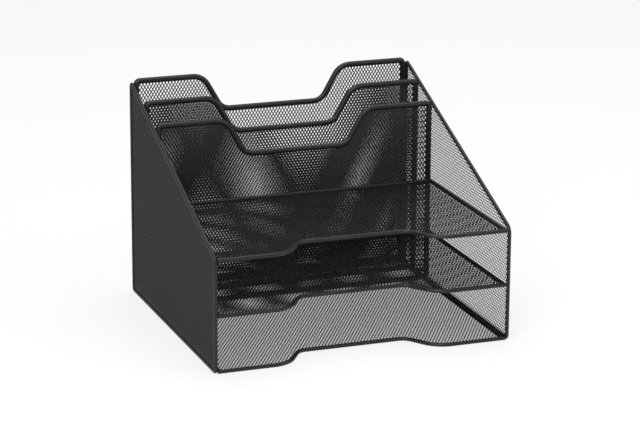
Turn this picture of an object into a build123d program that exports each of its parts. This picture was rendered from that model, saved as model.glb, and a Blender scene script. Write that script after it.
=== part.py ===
from build123d import *
import os
from math import atan, ceil, cos, hypot

# A free-standing document tray of black steel: two shelves and a base for flat papers at the front,
# and two upright slots behind them, between side panels with a sloping top edge.
# Every panel is expanded steel mesh whose edge is let into a groove of its round steel rim.
# x runs to the right, y to the back and z up, from the middle of the footprint.

# Driving dimensions, in millimetres
tray_width = 325.0
tray_depth = 292.0
rear_height = 239.0  # where the sloping edge of the side panels meets their back edge
front_height = 123.0  # where it meets their front edge
slot_pitch = 39.2  # from the rear panel to the middle divider, and on to the front divider
shelf_pitch = 58.8  # from the base to the middle shelf, and on to the top shelf

# Round wire of the rims
side_wire = 4.0
upright_wire = 6.2
shelf_wire = 4.2
weld_gap = 0.1  # between wires that are welded where they meet
rest_flat = 0.4  # depth of the flat under the wires that stand on the desk

# Bends, measured on the wire's middle line
side_bottom_bend = 4.0
side_front_bend = 10.0
side_top_bend = 2.6
upright_corner_bend = 4.0

# Finger dips in the uprights
upright_dip_depth = 38.5
upright_mouth_width = 160.0
upright_floor_width = 116.0
upright_mouth_bend = 20.0
upright_floor_bend = 16.0

# Finger dips in the shelf fronts
shelf_dip_depth = 34.0
shelf_mouth_width = 163.0
shelf_floor_width = 119.0
shelf_mouth_bend = 30.0
shelf_floor_bend = 14.0

# Expanded mesh, with its diamonds in rows that are staggered by half a cell
sheet_thickness = 0.6
groove_clearance = 0.1
cell_width = 3.6
cell_length = 6.0
strand_width = 0.7
cells_per_gap = 5  # each modelled gap spans this many real cells each way
hem_width = 3.0  # plain edge between the rim's middle line and the gaps

# Places that follow from the sizes above
slope = (rear_height - front_height) / tray_depth
slope_cosine = cos(atan(slope))
inner_half_width = tray_width / 2 - side_wire - weld_gap
post_x = inner_half_width - upright_wire / 2
rail_x = inner_half_width - shelf_wire / 2
base_z = shelf_wire / 2 - rest_flat
upright_foot_z = base_z + shelf_wire / 2 + weld_gap
shelf_front_y = -tray_depth / 2 + shelf_wire / 2
rear_panel_y = tray_depth / 2 - upright_wire / 2
front_divider_y = rear_panel_y - 2 * slot_pitch


def slope_height(y):
    """Height of the side panels' upper edge at a depth y."""
    return front_height + slope * (y + tray_depth / 2)


def bent_wire(points, bends, diameter, closed=False):
    """Round wire along straight runs joined by bends, in the local xy plane."""
    path = FilletPolyline(*points, radius=bends, close=closed)
    section = Plane(origin=path @ 0, z_dir=path % 0) * Circle(diameter / 2)
    return sweep(section, path=path)


def straight_wire(start, end, diameter):
    """Round wire between two points of the local xy plane."""
    path = Line(start, end)
    section = Plane(origin=path @ 0, z_dir=path % 0) * Circle(diameter / 2)
    return sweep(section, path=path)


def mesh_gaps(field):
    """Closed diamond wires of the gaps that lie whole inside the field."""
    pitch_across = cells_per_gap * cell_width
    pitch_along = cells_per_gap * cell_length
    side_distance = pitch_across * pitch_along / (2 * hypot(pitch_across, pitch_along))
    open_share = 1 - cells_per_gap * strand_width / (2 * side_distance)
    half_width = open_share * pitch_across / 2
    half_length = open_share * pitch_along / 2
    box = field.bounding_box()
    middle = box.center()
    columns = ceil(box.size.X / pitch_across)
    rows = ceil(box.size.Y / pitch_along)
    gaps = []
    for row in range(-rows, rows + 1):
        for column in range(-columns, columns + 1):
            if (row + column) % 2:
                continue
            x = middle.X + column * pitch_across / 2
            y = middle.Y + row * pitch_along / 2
            sides = [(x - half_width, y), (x + half_width, y)]
            tips = [(x, y - half_length), (x, y + half_length)]
            corners = [sides[0], tips[0], sides[1], tips[1]]
            if all(field.is_inside(corner) for corner in corners):
                gaps.append(Wire(Polyline(*corners, close=True).edges()))
    return gaps


def plate(face, thickness):
    """Plate of this face, with the local xy plane through its middle."""
    return extrude(Pos(0, 0, -thickness / 2) * face, amount=thickness, dir=(0, 0, 1))


def mesh_panel(points, bends):
    """Mesh sheet with this outline in the local xy plane, and the cutter of its groove."""
    blank = make_face(FilletPolyline(*points, radius=bends, close=True)).face()
    field = offset(blank, amount=-hem_width, kind=Kind.INTERSECTION).face()
    seat = offset(blank, amount=groove_clearance, kind=Kind.INTERSECTION).face()
    gaps = mesh_gaps(field)
    sheet = plate(Face(blank.outer_wire(), gaps), sheet_thickness)
    groove = plate(seat, sheet_thickness + 2 * groove_clearance)
    return sheet, groove, len(gaps)


def dip_points(half_end, level, depth, mouth_width, floor_width):
    """Points of a line at this level with a finger dip in its middle, from left to right."""
    return [
        (-half_end, level),
        (-mouth_width / 2, level),
        (-floor_width / 2, level - depth),
        (floor_width / 2, level - depth),
        (mouth_width / 2, level),
        (half_end, level),
    ]


upright_dip_bends = [upright_mouth_bend, upright_floor_bend, upright_floor_bend, upright_mouth_bend]
shelf_dip_bends = [shelf_mouth_bend, shelf_floor_bend, shelf_floor_bend, shelf_mouth_bend]
below_desk = Pos(0, 0, -tray_width / 2) * Box(2 * tray_width, 2 * tray_depth, tray_width)


def side_panel(side):
    """Side panel on the left (-1) or the right (1): one loop of wire around its mesh."""
    wire_radius = side_wire / 2
    front_y = -tray_depth / 2 + wire_radius
    rear_y = tray_depth / 2 - wire_radius
    bottom_z = wire_radius - rest_flat
    slope_drop = wire_radius / slope_cosine
    corners = [
        (rear_y, bottom_z),
        (front_y, bottom_z),
        (front_y, slope_height(front_y) - slope_drop),
        (rear_y, slope_height(rear_y) - slope_drop),
    ]
    bends = [side_bottom_bend, side_bottom_bend, side_front_bend, side_top_bend]
    plane = Plane.YZ.offset(side * (tray_width / 2 - wire_radius))
    sheet, groove, gap_count = mesh_panel(corners, bends)
    rim = plane * (bent_wire(corners, bends, side_wire, closed=True) - groove) - below_desk
    return {"rim": rim, "mesh": plane * sheet}, gap_count


def upright(y):
    """Upright panel at a depth y: a rim with a dip and two posts, a bottom rail and the mesh."""
    wire_radius = upright_wire / 2
    top_z = slope_height(y)
    rail_z = upright_foot_z + wire_radius
    top_line = dip_points(post_x, top_z, upright_dip_depth, upright_mouth_width, upright_floor_width)
    rim_points = [(-post_x, upright_foot_z), *top_line, (post_x, upright_foot_z)]
    rail_end = post_x - wire_radius - weld_gap
    mesh_outline = [(-post_x, rail_z), *top_line, (post_x, rail_z)]
    rim_bends = [upright_corner_bend, *upright_dip_bends, upright_corner_bend]
    sheet, groove, gap_count = mesh_panel(mesh_outline, [0, *rim_bends, 0])
    rim = bent_wire(rim_points, rim_bends, upright_wire) - groove
    rail = straight_wire((-rail_end, rail_z), (rail_end, rail_z), upright_wire) - groove
    plane = Plane.XZ.offset(-y)
    return {"rim": plane * rim, "bottom_rail": plane * rail, "mesh": plane * sheet}, gap_count


def shelf(z, rear_end):
    """Shelf at a height z: a front rim with a dip, two side rails, a rear rail and the mesh."""
    wire_radius = shelf_wire / 2
    rear_y = rear_end - wire_radius
    rail_start = shelf_front_y + wire_radius + weld_gap
    rear_rail_end = rail_x - wire_radius - weld_gap
    dip = (-shelf_dip_depth, shelf_mouth_width, shelf_floor_width)
    front_line = dip_points(inner_half_width, shelf_front_y, *dip)
    mesh_front = dip_points(rail_x, shelf_front_y, *dip)
    mesh_outline = [*mesh_front, (rail_x, rear_y), (-rail_x, rear_y)]
    sheet, groove, gap_count = mesh_panel(mesh_outline, [0, *shelf_dip_bends, 0, 0, 0])
    wires = {
        "front_rim": bent_wire(front_line, shelf_dip_bends, shelf_wire),
        "left_rail": straight_wire((-rail_x, rail_start), (-rail_x, rear_end), shelf_wire),
        "right_rail": straight_wire((rail_x, rail_start), (rail_x, rear_end), shelf_wire),
        "rear_rail": straight_wire((-rear_rail_end, rear_y), (rear_rail_end, rear_y), shelf_wire),
    }
    plane = Plane.XY.offset(z)
    pieces = {name: plane * (wire - groove) - below_desk for name, wire in wires.items()}
    pieces["mesh"] = plane * sheet
    return pieces, gap_count


shelf_rear_end = front_divider_y - upright_wire / 2 - weld_gap
panels = {
    "left_side": side_panel(-1),
    "right_side": side_panel(1),
    "rear_panel": upright(rear_panel_y),
    "middle_divider": upright(rear_panel_y - slot_pitch),
    "front_divider": upright(front_divider_y),
    "top_shelf": shelf(base_z + 2 * shelf_pitch, shelf_rear_end),
    "middle_shelf": shelf(base_z + shelf_pitch, shelf_rear_end),
    "base": shelf(base_z, tray_depth / 2),
}

os.makedirs("parts", exist_ok=True)
for panel_name, (pieces, gap_count) in panels.items():
    for piece_name, piece in pieces.items():
        export_step(piece, f"parts/{panel_name}_{piece_name}.step")
    print(panel_name, "has", len(pieces), "pieces and", gap_count, "gaps in its mesh")
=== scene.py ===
import math
import bpy
import numpy as np
from mathutils import Matrix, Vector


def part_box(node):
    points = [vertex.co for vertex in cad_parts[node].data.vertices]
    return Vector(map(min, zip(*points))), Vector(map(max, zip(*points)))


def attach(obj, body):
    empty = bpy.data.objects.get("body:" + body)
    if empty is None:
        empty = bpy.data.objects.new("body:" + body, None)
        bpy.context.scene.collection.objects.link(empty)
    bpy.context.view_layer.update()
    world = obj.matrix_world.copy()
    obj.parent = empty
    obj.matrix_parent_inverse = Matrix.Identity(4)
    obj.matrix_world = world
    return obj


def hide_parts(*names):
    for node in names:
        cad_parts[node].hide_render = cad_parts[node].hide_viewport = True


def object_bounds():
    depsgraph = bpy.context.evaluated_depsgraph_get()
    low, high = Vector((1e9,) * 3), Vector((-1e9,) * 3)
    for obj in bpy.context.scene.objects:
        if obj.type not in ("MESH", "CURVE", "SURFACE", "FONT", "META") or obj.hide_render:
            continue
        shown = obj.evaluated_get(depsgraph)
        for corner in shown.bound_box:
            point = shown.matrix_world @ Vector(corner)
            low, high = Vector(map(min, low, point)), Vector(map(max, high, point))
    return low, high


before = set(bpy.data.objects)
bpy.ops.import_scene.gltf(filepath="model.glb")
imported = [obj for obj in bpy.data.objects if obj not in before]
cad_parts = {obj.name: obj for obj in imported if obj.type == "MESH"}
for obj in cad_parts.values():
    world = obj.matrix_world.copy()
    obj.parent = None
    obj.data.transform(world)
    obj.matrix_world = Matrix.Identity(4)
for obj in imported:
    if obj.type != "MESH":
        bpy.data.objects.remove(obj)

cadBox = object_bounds()
print("frame loaded, nodes:", len(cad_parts))


# sRGB hex to the linear values that the shader sockets take
def toLinear(hexColour):
    parts = np.array([int(hexColour[i:i + 2], 16) for i in (1, 3, 5)]) / 255
    linear = np.where(parts <= 0.04045, parts / 12.92, ((parts + 0.055) / 1.055) ** 2.4)
    return (*linear, 1.0)


# one node with its settings (attributes) and its inputs: a value is set, a socket is linked
def addNode(tree, kind, inputs=None, **settings):
    node = tree.nodes.new(kind)
    for name, value in settings.items():
        setattr(node, name, value)
    for name, value in (inputs or {}).items():
        if isinstance(value, bpy.types.NodeSocket):
            tree.links.new(value, node.inputs[name])
        else:
            node.inputs[name].default_value = value
    return node


def newMaterial(name):
    material = bpy.data.materials.new(name)
    material.use_nodes = True
    material.node_tree.nodes.clear()
    return material, material.node_tree


# Satin black powder coat on steel, sprayed and baked: a dark, slightly cool black with a broad soft
# highlight, a fine orange-peel skin, and a duller, dustier look in patches where hands and paper rub it.
coatPattern = dict(tonePlaces=(0.35, 0.70), glossPlaces=(0.30, 0.75), rubbedDetail=3.0, rubbedRoughness=0.6,
                   peelDetail=2.0, peelRoughness=0.5, ior=1.45)


def powderCoat(name, look):
    material, tree = newMaterial(name)
    place = addNode(tree, "ShaderNodeTexCoord").outputs["Object"]
    rubbed = addNode(tree, "ShaderNodeTexNoise", {
        "Vector": place, "Scale": 1 / look["patchSize"], "Detail": coatPattern["rubbedDetail"],
        "Roughness": coatPattern["rubbedRoughness"]})
    tone = addNode(tree, "ShaderNodeValToRGB", {"Fac": rubbed.outputs["Fac"]})
    colours = (look["dark"], look["pale"])
    for stop, position, colour in zip(tone.color_ramp.elements, coatPattern["tonePlaces"], colours):
        stop.position = position
        stop.color = toLinear(colour)
    gloss = addNode(tree, "ShaderNodeMapRange", {
        "Value": rubbed.outputs["Fac"], "From Min": coatPattern["glossPlaces"][0],
        "From Max": coatPattern["glossPlaces"][1],
        "To Min": look["roughness"][0], "To Max": look["roughness"][1]})
    peel = addNode(tree, "ShaderNodeTexNoise", {
        "Vector": place, "Scale": 1 / look["peelSize"], "Detail": coatPattern["peelDetail"],
        "Roughness": coatPattern["peelRoughness"]})
    skin = addNode(tree, "ShaderNodeBump", {
        "Height": peel.outputs["Fac"], "Strength": look["peelStrength"], "Distance": look["peelDepth"]})
    shader = addNode(tree, "ShaderNodeBsdfPrincipled", {
        "Base Color": tone.outputs["Color"], "Roughness": gloss.outputs["Result"],
        "Normal": skin.outputs["Normal"], "Metallic": 0.0, "IOR": coatPattern["ior"]})
    addNode(tree, "ShaderNodeOutputMaterial", {"Surface": shader.outputs["BSDF"]})
    return material


rimLook = dict(
    dark="#141416", pale="#1B1B1E",
    roughness=(0.38, 0.50),
    patchSize=0.018,
    peelSize=0.0009,  # real orange peel is about 0.5 mm, drawn a little coarser so that it shows
    peelStrength=0.35, peelDepth=0.00006)
meshLook = dict(
    dark="#161517", pale="#1F1E21",
    roughness=(0.42, 0.55),
    patchSize=0.025,
    peelSize=0.0009,
    peelStrength=0.25, peelDepth=0.00004)
rimCoat = powderCoat("satin black powder coat on rim wire", rimLook)
meshCoat = powderCoat("satin black powder coat on expanded steel", meshLook)
print("materials made")


sharpAngle = math.radians(40)


# puts arrays of points and quads into a mesh object that rides on the tray
def newPiece(name, points, quads, caps, material, node, smooth):
    mesh = bpy.data.meshes.new(name)
    mesh.from_pydata(points.tolist(), [], quads.tolist() + caps)
    mesh.polygons.foreach_set("use_smooth", np.full(len(mesh.polygons), smooth))
    if smooth:
        mesh.set_sharp_from_angle(angle=sharpAngle)
    mesh.update()
    piece = bpy.data.objects.new(name, mesh)
    bpy.context.scene.collection.objects.link(piece)
    mesh.materials.append(material)
    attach(piece, "root")
    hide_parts(node)
    return piece


# the three axes of a panel's own plane: u and v lie in it, and w stands out of it
planeAxes = {
    "side": np.array([[0, 1, 0], [0, 0, 1], [1, 0, 0]], float),
    "upright": np.array([[1, 0, 0], [0, 0, 1], [0, -1, 0]], float),
    "shelf": np.array([[1, 0, 0], [0, 1, 0], [0, 0, 1]], float),
}


# a panel's point (u, v, w) in the tray's frame: u, v and w times the axes, plus the panel's offset along w
def toRow(local, kind, offset):
    axes = planeAxes[kind]
    return local @ axes + axes[2] * offset


# Straight runs joined by tangent arcs. At a corner p between directions a and b that turn by t, the arc of
# radius r starts r*tan(t/2) before p, and runs as centre + r*(cos, sin) through the angle t.
def roundedPath(corners, bends, closed, arcSteps=10):
    corners = np.array(corners, float)
    last = len(corners) - 1
    runs = []
    for i, bend in enumerate(bends):
        corner = corners[i]
        if bend == 0 or (not closed and i in (0, last)):
            runs.append(corner[None])
            continue
        before = corner - corners[i - 1]
        after = corners[(i + 1) % len(corners)] - corner
        before /= np.linalg.norm(before)
        after /= np.linalg.norm(after)
        bendSide = np.sign(before[0] * after[1] - before[1] * after[0])
        turn = math.acos(np.clip(before @ after, -1, 1))
        start = corner - before * bend * math.tan(turn / 2)
        inward = bendSide * np.array([-before[1], before[0]])
        angle = np.linspace(0, turn, arcSteps + 1)[:, None]
        runs.append(start + inward * bend * (1 - np.cos(angle)) + before * bend * np.sin(angle))
    return np.concatenate(runs)


# Round wire with a slot for the sheet: a circle from one lip of the slot round to the other, then the slot's
# floor just past the middle. The first number is the way in towards the sheet, the second stands out of the plane.
def wireProfile(diameter, slotWidth, slotDepth, sides=26):
    radius = diameter / 2
    lip = math.asin(slotWidth / 2 / radius)
    angle = np.linspace(lip, 2 * math.pi - lip, sides)
    ring = radius * np.stack([np.cos(angle), np.sin(angle)], 1)
    floor = np.array([[radius - slotDepth, -slotWidth / 2], [radius - slotDepth, slotWidth / 2]])
    return np.concatenate([ring, floor])


# Profile carried along a path: point (i, j) is path i plus profile j on the path's inward normal and on w.
# The inward normal is the mean direction of the two runs at a point, turned a quarter to the left, and longer by
# 1/cos of half the turn, which keeps the wire's thickness where the path turns.
def carriedProfile(path, profile, closed, kind, offset, flatAt=None):
    ahead = np.roll(path, -1, 0) - path
    ahead /= np.linalg.norm(ahead, axis=1, keepdims=True)
    if not closed:
        ahead[-1] = ahead[-2]
    behind = np.roll(ahead, 1, 0)
    if not closed:
        behind[0] = ahead[0]
    along = ahead + behind
    along /= np.linalg.norm(along, axis=1, keepdims=True)
    mitre = 1 / np.sum(along * ahead, 1, keepdims=True)
    inward = np.stack([-along[:, 1], along[:, 0]], 1) * mitre
    flat = path[:, None] + inward[:, None] * profile[None, :, :1]
    stand = np.broadcast_to(profile[None, :, 1:], (*flat.shape[:2], 1))
    points = toRow(np.concatenate([flat, stand], 2).reshape(-1, 3), kind, offset)
    if flatAt is not None:
        points[:, 2] = np.maximum(points[:, 2], flatAt)
    rings, sides = len(path), len(profile)
    index = np.arange(rings * sides).reshape(rings, sides)
    nextRing = np.roll(index, -1, 0) if closed else index[1:]
    thisRing = index if closed else index[:-1]
    quads = np.stack([thisRing, nextRing, np.roll(nextRing, -1, 1), np.roll(thisRing, -1, 1)], 2).reshape(-1, 4)
    caps = [] if closed else [index[0].tolist(), index[-1][::-1].tolist()]
    return points, quads, caps


# volume by the divergence theorem, to turn the faces of a piece outwards
def turnedOut(points, quads, caps):
    a, b, c, d = (points[quads[:, k]] for k in range(4))
    volume = np.sum(np.cross(a, b) * c) + np.sum(np.cross(a, c) * d)
    if volume < 0:
        return quads[:, ::-1], [cap[::-1] for cap in caps]
    return quads, caps


groove = dict(width=0.0008, pastMiddle=0.0001)


# a rim or rail: the slotted profile carried along its rounded path
def wirePiece(name, node, corners, bends, closed, diameter, kind, offset, flatAt=None):
    path = roundedPath(corners, bends, closed)
    profile = wireProfile(diameter, groove["width"], diameter / 2 + groove["pastMiddle"])
    points, quads, caps = carriedProfile(path, profile, closed, kind, offset, flatAt)
    quads, caps = turnedOut(points, quads, caps)
    return newPiece(name, points, quads, caps, rimCoat, node, True)


guards = dict(rise=1e-12, length=1e-9)  # keep the divisions below away from zero


# how far each point lies inside the closed outline (negative outside), and the nearest point of the outline
def insetOf(points, outline):
    start = outline
    run = np.roll(outline, -1, 0) - start
    share = np.einsum("psk,sk->ps", points[:, None] - start[None], run) / np.sum(run ** 2, 1)
    foot = start[None] + np.clip(share, 0, 1)[..., None] * run[None]
    distance = np.linalg.norm(points[:, None] - foot, axis=2)
    nearest = np.argmin(distance, 1)
    rows = np.arange(len(points))
    crosses = (start[None, :, 1] > points[:, None, 1]) != ((start + run)[None, :, 1] > points[:, None, 1])
    rise = np.where(np.abs(run[:, 1]) < guards["rise"], guards["rise"], run[:, 1])
    reach = start[None, :, 0] + (points[:, None, 1] - start[None, :, 1]) / rise * run[None, :, 0]
    inside = np.sum(crosses & (points[:, None, 0] < reach), 1) % 2 == 1
    return np.where(inside, 1, -1) * distance[rows, nearest], foot[rows, nearest]


# points that lie outside the outline, or nearer to it than the margin, move to the margin inside it
def pulledIn(points, outline, margin):
    inset, foot = insetOf(points, outline)
    away = points - foot
    length = np.maximum(np.linalg.norm(away, axis=1, keepdims=True), guards["length"])
    inwards = np.where(inset[:, None] >= 0, 1, -1) * away / length
    return np.where((inset < margin)[:, None], foot + inwards * margin, points)


# Expanded steel: the sheet is slit and pulled, so its strands cross in staggered diamonds and stand tilted,
# one edge up and one edge down, like a louvre.
meshCell = dict(
    across=0.0036, along=0.0060,
    strand=0.00092,
    thickness=0.00040,
    tilt=0.00034,  # how far a strand's edges stand out of the plane
    leastInset=0.0005,  # a cell nearer to the outline than this is left out
    openingMargin=0.0003)


# Cells sit where i + j is even on a grid of half pitches, and strands cross where it is odd. A cell is the ring
# between the diamond of its strands' middle lines, (+-1, 0) and (0, +-1), and its opening, the same diamond
# scaled down. The opening's two side corners stand out of the plane by +tilt and -tilt.
def expandedMesh(outline, tiltSign, rimRadius):
    across, along = meshCell["across"] / 2, meshCell["along"] / 2
    reach = across * along / math.hypot(across, along)
    openShare = 1 - meshCell["strand"] / 2 / reach
    low, high = outline.min(0), outline.max(0)
    middle = (low + high) / 2
    columns, rows = (np.ceil((high - low) / 2 / [across, along]) + 1).astype(int)
    i, j = np.meshgrid(np.arange(-columns, columns + 1), np.arange(-rows, rows + 1), indexing="ij")
    even = (i + j) % 2 == 0
    cells = np.stack([i[even], j[even]], 1)
    centres = middle + cells * [across, along]
    inset, _ = insetOf(centres, outline)
    kept = inset > meshCell["leastInset"]
    cells, centres, inset = cells[kept], centres[kept], inset[kept]

    steps = np.array([[1, 0], [0, 1], [-1, 0], [0, -1]])
    crossings = (cells[:, None] + steps).reshape(-1, 2)
    unique, corner = np.unique(crossings, axis=0, return_inverse=True)
    corner = corner.reshape(-1, 4)
    crossPoints = pulledIn(middle + unique * [across, along], outline, 0)
    openings = centres[:, None] + steps * [across, along] * openShare
    openings = pulledIn(openings.reshape(-1, 2), outline, meshCell["openingMargin"])

    free = np.clip((inset - rimRadius) / meshCell["along"], 0, 1)  # strands lie flat where the rim grips them
    lift = (free[:, None] * np.array([-1, 0, 1, 0]) * meshCell["tilt"] * tiltSign).reshape(-1)
    half = meshCell["thickness"] / 2
    flat = np.concatenate([crossPoints, openings])
    stand = np.concatenate([np.zeros(len(crossPoints)), lift])
    front = np.column_stack([flat, stand + half])
    back = np.column_stack([flat, stand - half])
    points = np.concatenate([front, back])

    under = len(flat)
    opening = len(crossPoints) + np.arange(len(openings)).reshape(-1, 4)
    nextCorner, nextOpening = np.roll(corner, -1, 1), np.roll(opening, -1, 1)
    frontFaces = np.stack([corner, nextCorner, nextOpening, opening], 2).reshape(-1, 4)
    openingWalls = np.stack([opening, nextOpening, nextOpening + under, opening + under], 2).reshape(-1, 4)
    edges = np.stack([corner, nextCorner], 2).reshape(-1, 2)
    _, which, count = np.unique(np.sort(edges, 1), axis=0, return_inverse=True, return_counts=True)
    rimEdges = edges[count[which.reshape(-1)] == 1]
    rimWalls = np.column_stack([rimEdges[:, 1], rimEdges[:, 0], rimEdges[:, 0] + under, rimEdges[:, 1] + under])
    quads = np.concatenate([frontFaces, frontFaces[:, ::-1] + under, openingWalls, rimWalls])
    return points, quads


# the expanded sheet inside this outline, laid into its panel's plane
def meshPiece(name, node, outline, kind, offset, tiltSign, rimRadius):
    local, quads = expandedMesh(outline, tiltSign, rimRadius)
    points = toRow(local, kind, offset)
    quads, _ = turnedOut(points, quads, [])
    piece = newPiece(name, points, quads, [], meshCoat, node, False)
    print(name, "cells' triangles:", 2 * len(quads))
    return piece


# a finger dip: its four bends, and a line that falls by depth from the mouth's width to the floor's
def dipBends(dip):
    return [dip["mouthBend"], dip["floorBend"], dip["floorBend"], dip["mouthBend"]]


def dipLine(halfEnd, level, depth, dip):
    mouth, floor = dip["mouth"] / 2, dip["floor"] / 2
    return [(-halfEnd, level), (-mouth, level), (-floor, level - depth),
            (floor, level - depth), (mouth, level), (halfEnd, level)]


# side panels: one loop of wire with a sloping top
sidePanel = dict(frontHeight=0.123, rearHeight=0.239, bottomBend=0.004, frontBend=0.010, topBend=0.0026,
                 restFlat=0.0004)


# height of the sloping edge at y: a straight line from the front height to the rear height
def slopeHeight(y):
    front, rear = cadBox[0][1], cadBox[1][1]
    rise = (sidePanel["rearHeight"] - sidePanel["frontHeight"]) / (rear - front)
    return sidePanel["frontHeight"] + rise * (y - front)


def makeSide(side, sign):
    low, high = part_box(side + "_side_rim")
    radius = (high[0] - low[0]) / 2
    front, rear = low[1] + radius, high[1] - radius
    rise = (slopeHeight(rear) - slopeHeight(front)) / (rear - front)
    drop = radius * math.hypot(1, rise)
    bottom = radius - sidePanel["restFlat"]
    corners = [(rear, bottom), (rear, slopeHeight(rear) - drop), (front, slopeHeight(front) - drop), (front, bottom)]
    bends = [sidePanel["bottomBend"], sidePanel["topBend"], sidePanel["frontBend"], sidePanel["bottomBend"]]
    offset = (low[0] + high[0]) / 2
    wirePiece(side + "SideRim", side + "_side_rim", corners, bends, True, 2 * radius, "side", offset, 0.0)
    outline = roundedPath(corners, bends, True)
    meshPiece(side + "SideMesh", side + "_side_mesh", outline, "side", offset, sign, radius)


makeSide("left", -1)
makeSide("right", 1)
print("side panels made")


# uprights: a rim with a dip, bent down into two posts, and a bottom rail between them
uprightPanel = dict(dipDepth=0.0385, mouth=0.160, floor=0.116, mouthBend=0.020, floorBend=0.016, cornerBend=0.004)


def makeUpright(name, label):
    low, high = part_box(name + "_rim")
    railLow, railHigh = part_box(name + "_bottom_rail")
    radius = (high[1] - low[1]) / 2
    y = (low[1] + high[1]) / 2
    postX = high[0] - radius
    top = high[2] - radius
    foot = low[2]
    railZ = railLow[2] + radius
    topLine = dipLine(postX, top, uprightPanel["dipDepth"], uprightPanel)[::-1]
    bends = [0, uprightPanel["cornerBend"], *dipBends(uprightPanel), uprightPanel["cornerBend"], 0]
    wirePiece(label + "Rim", name + "_rim", [(postX, foot), *topLine, (-postX, foot)], bends, False,
              2 * radius, "upright", -y)
    wirePiece(label + "BottomRail", name + "_bottom_rail", [(railLow[0], railZ), (railHigh[0], railZ)], [0, 0], False,
              2 * radius, "upright", -y)
    outline = roundedPath([(postX, railZ), *topLine, (-postX, railZ)], bends, True)
    meshPiece(label + "Mesh", name + "_mesh", outline, "upright", -y, 1, radius)


makeUpright("rear_panel", "rearPanel")
makeUpright("middle_divider", "middleDivider")
makeUpright("front_divider", "frontDivider")
print("uprights made")


# shelves and base: a front rim with a dip, two side rails and a rear rail
shelfPanel = dict(mouth=0.163, floor=0.119, mouthBend=0.030, floorBend=0.014)


def makeShelf(name, label):
    low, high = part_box(name + "_front_rim")
    rightLow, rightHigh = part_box(name + "_right_rail")
    rearLow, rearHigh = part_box(name + "_rear_rail")
    radius = (rightHigh[0] - rightLow[0]) / 2
    z = high[2] - radius
    frontY = low[1] + radius
    dipDepth = high[1] - low[1] - 2 * radius
    railX = (rightLow[0] + rightHigh[0]) / 2
    rearY = rightHigh[1] - radius
    flatAt = 0.0 if low[2] < radius else None
    frontLine = dipLine(high[0], frontY, -dipDepth, shelfPanel)
    bends = [0, *dipBends(shelfPanel), 0]
    wires = {
        "FrontRim": ("_front_rim", frontLine, bends),
        "RightRail": ("_right_rail", [(railX, rightLow[1]), (railX, rightHigh[1])], [0, 0]),
        "RearRail": ("_rear_rail", [(rearHigh[0], rearY), (rearLow[0], rearY)], [0, 0]),
        "LeftRail": ("_left_rail", [(-railX, rightHigh[1]), (-railX, rightLow[1])], [0, 0]),
    }
    for part, (node, corners, wireBends) in wires.items():
        wirePiece(label + part, name + node, corners, wireBends, False, 2 * radius, "shelf", z, flatAt)
    meshFront = dipLine(railX, frontY, -dipDepth, shelfPanel)
    outline = roundedPath([*meshFront, (railX, rearY), (-railX, rearY)], [*bends, 0, 0], True)
    meshPiece(label + "Mesh", name + "_mesh", outline, "shelf", z, -1, radius)


makeShelf("top_shelf", "topShelf")
makeShelf("middle_shelf", "middleShelf")
makeShelf("base", "base")
print("shelves made")


# Plain white floor under the tray. What is seen of it, straight or in a reflection, is mixed with plain white,
# and shadowShare of its shading is left, so that the tray's shadow shows.
floorLook = dict(size=14.0, colour="#F2F2F3", shadowShare=0.30)


def makeFloor():
    material, tree = newMaterial("matt white studio floor")
    paint = addNode(tree, "ShaderNodeBsdfDiffuse", {"Color": toLinear(floorLook["colour"])})
    glow = addNode(tree, "ShaderNodeEmission", {"Color": (1, 1, 1, 1), "Strength": 1.0})
    rays = addNode(tree, "ShaderNodeLightPath")
    direct = addNode(tree, "ShaderNodeMath", {0: rays.outputs["Is Camera Ray"], 1: rays.outputs["Is Glossy Ray"]},
                     operation="MAXIMUM")
    shown = addNode(tree, "ShaderNodeMath", {0: direct.outputs[0], 1: rays.outputs["Is Transmission Ray"]},
                    operation="MAXIMUM")
    whiten = addNode(tree, "ShaderNodeMath", {0: shown.outputs[0], 1: 1 - floorLook["shadowShare"]},
                     operation="MULTIPLY")
    mix = addNode(tree, "ShaderNodeMixShader", {0: whiten.outputs[0], 1: paint.outputs[0], 2: glow.outputs[0]})
    addNode(tree, "ShaderNodeOutputMaterial", {"Surface": mix.outputs[0]})
    half = floorLook["size"] / 2
    corners = np.array([[-half, -half, 0], [half, -half, 0], [half, half, 0], [-half, half, 0]])
    mesh = bpy.data.meshes.new("studioFloor")
    mesh.from_pydata(corners.tolist(), [], [[0, 1, 2, 3]])
    mesh.materials.append(material)
    floor = bpy.data.objects.new("studioFloor", mesh)
    bpy.context.scene.collection.objects.link(floor)


makeFloor()


# matrix whose columns are the three axes and the place
def axesMatrix(right, up, back, place):
    rows = np.eye(4)
    rows[:3, 0], rows[:3, 1], rows[:3, 2], rows[:3, 3] = right, up, back, place
    return Matrix(rows.tolist())


# soft studio light: a pale room and three large softboxes
studioLamps = {
    "keySoftbox": dict(place=(-1.6, -2.2, 2.6), size=2.2, watts=80),
    "fillSoftbox": dict(place=(2.4, -1.6, 1.8), size=2.0, watts=25),
    "topSoftbox": dict(place=(0.2, 0.6, 3.0), size=2.4, watts=52),
}
roomGlow = 0.28
lampAim = (0, 0, 0.1)


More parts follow.
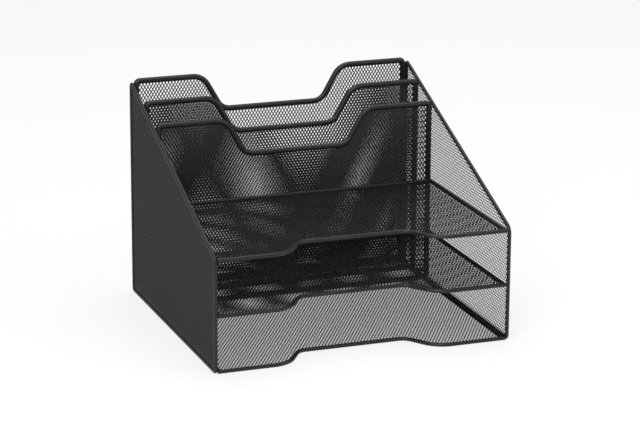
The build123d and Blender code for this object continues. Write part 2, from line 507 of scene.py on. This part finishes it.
def makeLights():
    for name, lamp in studioLamps.items():
        light = bpy.data.lights.new(name, "AREA")
        light.shape = "SQUARE"
        light.size = lamp["size"]
        light.energy = lamp["watts"]
        holder = bpy.data.objects.new(name, light)
        bpy.context.scene.collection.objects.link(holder)
        aim = np.array(lampAim) - np.array(lamp["place"])
        back = -aim / np.linalg.norm(aim)
        right = np.cross([0, 0, 1.0], back)
        right /= np.linalg.norm(right)
        holder.matrix_world = axesMatrix(right, np.cross(back, right), back, lamp["place"])
    # the room lights the tray at roomGlow and looks white to the camera
    world = bpy.data.worlds.new("white studio")
    bpy.context.scene.world = world
    world.use_nodes = True
    tree = world.node_tree
    tree.nodes.clear()
    rays = addNode(tree, "ShaderNodeLightPath")
    strength = addNode(tree, "ShaderNodeMapRange", {
        "Value": rays.outputs["Is Camera Ray"], "To Min": roomGlow, "To Max": 1.0})
    sky = addNode(tree, "ShaderNodeBackground", {"Color": (1, 1, 1, 1), "Strength": strength.outputs[0]})
    addNode(tree, "ShaderNodeOutputWorld", {"Surface": sky.outputs[0]})


makeLights()


# camera fitted to the photograph's edges; focal length in photograph pixels
viewpoint = dict(place=(-0.9554, -2.5729, 0.9198), azimuth=-20.457, elevation=16.504, roll=0.337,
                 focalPixels=2684.6, photoWidth=640, sensorWidth=36, farClip=60)


# back points from the tray to the camera, at its azimuth from the front and its elevation; roll turns right and up
def makeCamera():
    azimuth, elevation, roll = (math.radians(viewpoint[key]) for key in ("azimuth", "elevation", "roll"))
    back = np.array([math.sin(azimuth) * math.cos(elevation), -math.cos(azimuth) * math.cos(elevation),
                     math.sin(elevation)])
    level = np.cross([0, 0, 1.0], back)
    level /= np.linalg.norm(level)
    upright = np.cross(back, level)
    right = math.cos(roll) * level + math.sin(roll) * upright
    up = -math.sin(roll) * level + math.cos(roll) * upright
    lens = bpy.data.cameras.new("photoCamera")
    lens.sensor_fit = "HORIZONTAL"
    lens.sensor_width = viewpoint["sensorWidth"]
    lens.lens = lens.sensor_width * viewpoint["focalPixels"] / viewpoint["photoWidth"]
    lens.clip_end = viewpoint["farClip"]
    camera = bpy.data.objects.new("photoCamera", lens)
    bpy.context.scene.collection.objects.link(camera)
    camera.matrix_world = axesMatrix(right, up, back, viewpoint["place"])
    bpy.context.scene.camera = camera


makeCamera()
bpy.context.scene.view_settings.view_transform = "Standard"
print("stage, lights and camera made")
